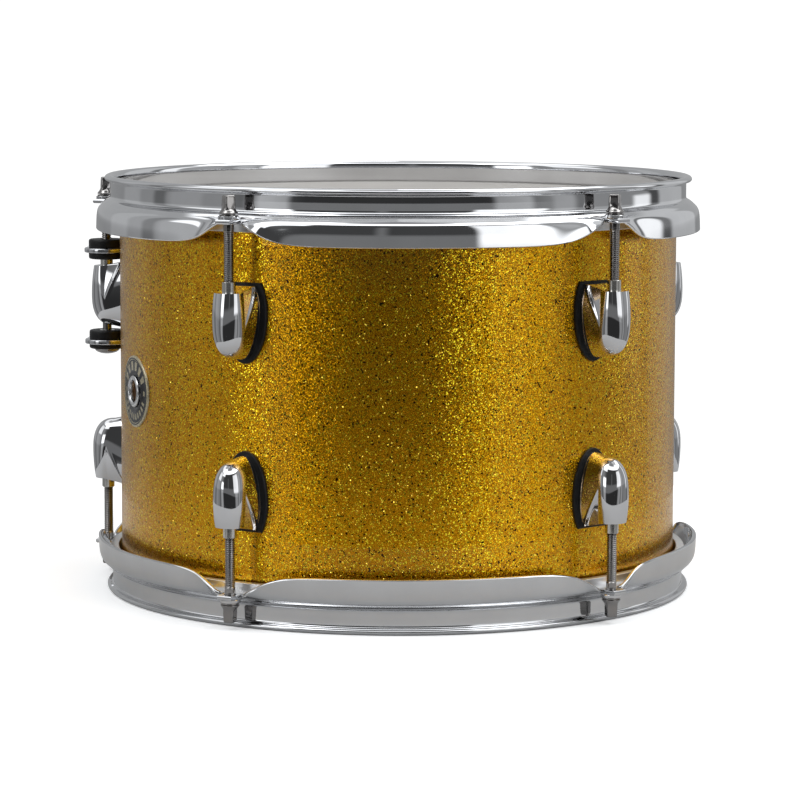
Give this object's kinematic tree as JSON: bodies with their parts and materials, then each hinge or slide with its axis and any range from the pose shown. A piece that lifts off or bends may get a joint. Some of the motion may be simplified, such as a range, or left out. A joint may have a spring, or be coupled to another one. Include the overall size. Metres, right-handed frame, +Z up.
{
  "type": "tom tom drum",
  "caption": "Mounted rack tom: a cylindrical gold-sparkle wooden shell between two steel-hooped heads, tuned by rods and lugs, with a suspension mount.",
  "frame": {"origin": "on the shell's axis, in the plane of the lower rim that the drum stands on", "axes": "+Z up along the shell's axis towards the batter head; -Y is the side seen in the picture, with the badge at front left; the suspension mount is at back left (-X, +Y)"},
  "size_m": [0.3435, 0.351, 0.2277],
  "materials": {
    "maple_ply": "clear satin lacquer",
    "gold_sparkle": "gold flake under clear gloss",
    "badge_enamel": "nickel with enamel fill",
    "plated_steel": "bright zinc plate",
    "coated_film": "fine sprayed white coating",
    "flesh_hoop": "satin",
    "batter_hoop_chrome": "polished",
    "resonant_hoop_chrome": "polished",
    "lug_chrome": "polished",
    "rod_chrome": "polished",
    "plate_chrome": "polished",
    "clamp_chrome": "polished cast metal",
    "black_rubber": "matt moulded rubber",
    "brass_nut": "plated, turned",
    "nylon": "moulded"
  },
  "bodies": {
    "drum": {"shell": "maple_ply", "sparkle_wrap": "gold_sparkle", "badge": "badge_enamel", "vent_eyelet": "plated_steel", "vent_eyelet_ring": "plated_steel", "batter_film": "coated_film", "batter_flesh_hoop": "flesh_hoop", "resonant_film": "coated_film", "resonant_flesh_hoop": "flesh_hoop", "batter_lug_1": "lug_chrome", "batter_lug_2": "lug_chrome", "batter_lug_3": "lug_chrome", "batter_lug_4": "lug_chrome", "batter_lug_5": "lug_chrome", "resonant_lug_1": "lug_chrome", "resonant_lug_2": "lug_chrome", "resonant_lug_3": "lug_chrome", "resonant_lug_4": "lug_chrome", "resonant_lug_5": "lug_chrome", "batter_lug_gaskets": "black_rubber", "resonant_lug_gaskets": "black_rubber", "batter_swivel_nuts": "brass_nut", "resonant_swivel_nuts": "brass_nut", "batter_nut_retainers": "nylon", "resonant_nut_retainers": "nylon", "batter_lug_screws": "plated_steel", "resonant_lug_screws": "plated_steel", "batter_lug_washers": "plated_steel", "resonant_lug_washers": "plated_steel", "suspension_plate": "plate_chrome", "upper_grommets": "black_rubber", "lower_grommets": "black_rubber", "lower_sleeves": "plated_steel", "lower_screws": "rod_chrome", "clamp_body": "clamp_chrome", "clamp_bolts": "plated_steel", "clamp_washer": "plated_steel"},
    "batter_hoop": {"batter_hoop": "batter_hoop_chrome", "batter_rod_washers": "rod_chrome"},
    "resonant_hoop": {"resonant_hoop": "resonant_hoop_chrome", "resonant_rod_washers": "rod_chrome"},
    "clamp_eyebolt": {"clamp_eyebolt": "plated_steel"},
    "clamp_wing_nut": {"clamp_wing_nut": "clamp_chrome"},
    "batter_rod_1": {"batter_rod_1": "rod_chrome"},
    "batter_rod_2": {"batter_rod_2": "rod_chrome"},
    "batter_rod_3": {"batter_rod_3": "rod_chrome"},
    "batter_rod_4": {"batter_rod_4": "rod_chrome"},
    "batter_rod_5": {"batter_rod_5": "rod_chrome"},
    "resonant_rod_1": {"resonant_rod_1": "rod_chrome"},
    "resonant_rod_2": {"resonant_rod_2": "rod_chrome"},
    "resonant_rod_3": {"resonant_rod_3": "rod_chrome"},
    "resonant_rod_4": {"resonant_rod_4": "rod_chrome"},
    "resonant_rod_5": {"resonant_rod_5": "rod_chrome"}
  },
  "joints": [
    {"name": "batter_hoop_lift", "type": "slide", "parent": "drum", "child": "batter_hoop", "axis": [0, 0, 1], "range_m": [0, 0.01058]},
    {"name": "batter_rod_1_turn", "type": "hinge", "parent": "batter_hoop", "child": "batter_rod_1", "pos_m": [-0.08595, -0.14476, 0.21385], "axis": [0, 0, 1], "range_deg": [0, 3600]},
    {"name": "batter_rod_2_turn", "type": "hinge", "parent": "batter_hoop", "child": "batter_rod_2", "pos_m": [0.11111, -0.12648, 0.21385], "axis": [0, 0, 1], "range_deg": [0, 3600]},
    {"name": "batter_rod_3_turn", "type": "hinge", "parent": "batter_hoop", "child": "batter_rod_3", "pos_m": [0.15462, 0.06659, 0.21385], "axis": [0, 0, 1], "range_deg": [0, 3600]},
    {"name": "batter_rod_4_turn", "type": "hinge", "parent": "batter_hoop", "child": "batter_rod_4", "pos_m": [-0.01555, 0.16763, 0.21385], "axis": [0, 0, 1], "range_deg": [0, 3600]},
    {"name": "batter_rod_5_turn", "type": "hinge", "parent": "batter_hoop", "child": "batter_rod_5", "pos_m": [-0.16423, 0.03701, 0.21385], "axis": [0, 0, 1], "range_deg": [0, 3600]},
    {"name": "resonant_hoop_lift", "type": "slide", "parent": "drum", "child": "resonant_hoop", "axis": [0, 0, -1], "range_m": [0, 0.01058]},
    {"name": "resonant_rod_1_turn", "type": "hinge", "parent": "resonant_hoop", "child": "resonant_rod_1", "pos_m": [-0.08595, -0.14476, 0.01385], "axis": [0, 0, -1], "range_deg": [0, 3600]},
    {"name": "resonant_rod_2_turn", "type": "hinge", "parent": "resonant_hoop", "child": "resonant_rod_2", "pos_m": [0.11111, -0.12648, 0.01385], "axis": [0, 0, -1], "range_deg": [0, 3600]},
    {"name": "resonant_rod_3_turn", "type": "hinge", "parent": "resonant_hoop", "child": "resonant_rod_3", "pos_m": [0.15462, 0.06659, 0.01385], "axis": [0, 0, -1], "range_deg": [0, 3600]},
    {"name": "resonant_rod_4_turn", "type": "hinge", "parent": "resonant_hoop", "child": "resonant_rod_4", "pos_m": [-0.01555, 0.16763, 0.01385], "axis": [0, 0, -1], "range_deg": [0, 3600]},
    {"name": "resonant_rod_5_turn", "type": "hinge", "parent": "resonant_hoop", "child": "resonant_rod_5", "pos_m": [-0.16423, 0.03701, 0.01385], "axis": [0, 0, -1], "range_deg": [0, 3600]},
    {"name": "eyebolt_slide", "type": "slide", "parent": "drum", "child": "clamp_eyebolt", "axis": [-0.7513, -0.66, 0], "range_m": [0, 0.003]},
    {"name": "wing_nut_turn", "type": "hinge", "parent": "drum", "child": "clamp_wing_nut", "pos_m": [-0.13398, 0.15251, 0.15685], "axis": [-0.7513, -0.66, 0], "range_deg": [-1080, 0]}
  ],
  "couplings": [
    {"joint": "batter_rod_1_turn", "follows": "batter_hoop_lift", "rad_per_m": 5938.7},
    {"joint": "batter_rod_2_turn", "follows": "batter_hoop_lift", "rad_per_m": 5938.7},
    {"joint": "batter_rod_3_turn", "follows": "batter_hoop_lift", "rad_per_m": 5938.7},
    {"joint": "batter_rod_4_turn", "follows": "batter_hoop_lift", "rad_per_m": 5938.7},
    {"joint": "batter_rod_5_turn", "follows": "batter_hoop_lift", "rad_per_m": 5938.7},
    {"joint": "resonant_rod_1_turn", "follows": "resonant_hoop_lift", "rad_per_m": 5938.7},
    {"joint": "resonant_rod_2_turn", "follows": "resonant_hoop_lift", "rad_per_m": 5938.7},
    {"joint": "resonant_rod_3_turn", "follows": "resonant_hoop_lift", "rad_per_m": 5938.7},
    {"joint": "resonant_rod_4_turn", "follows": "resonant_hoop_lift", "rad_per_m": 5938.7},
    {"joint": "resonant_rod_5_turn", "follows": "resonant_hoop_lift", "rad_per_m": 5938.7},
    {"joint": "wing_nut_turn", "follows": "eyebolt_slide", "rad_per_m": -6283.2}
  ]
}
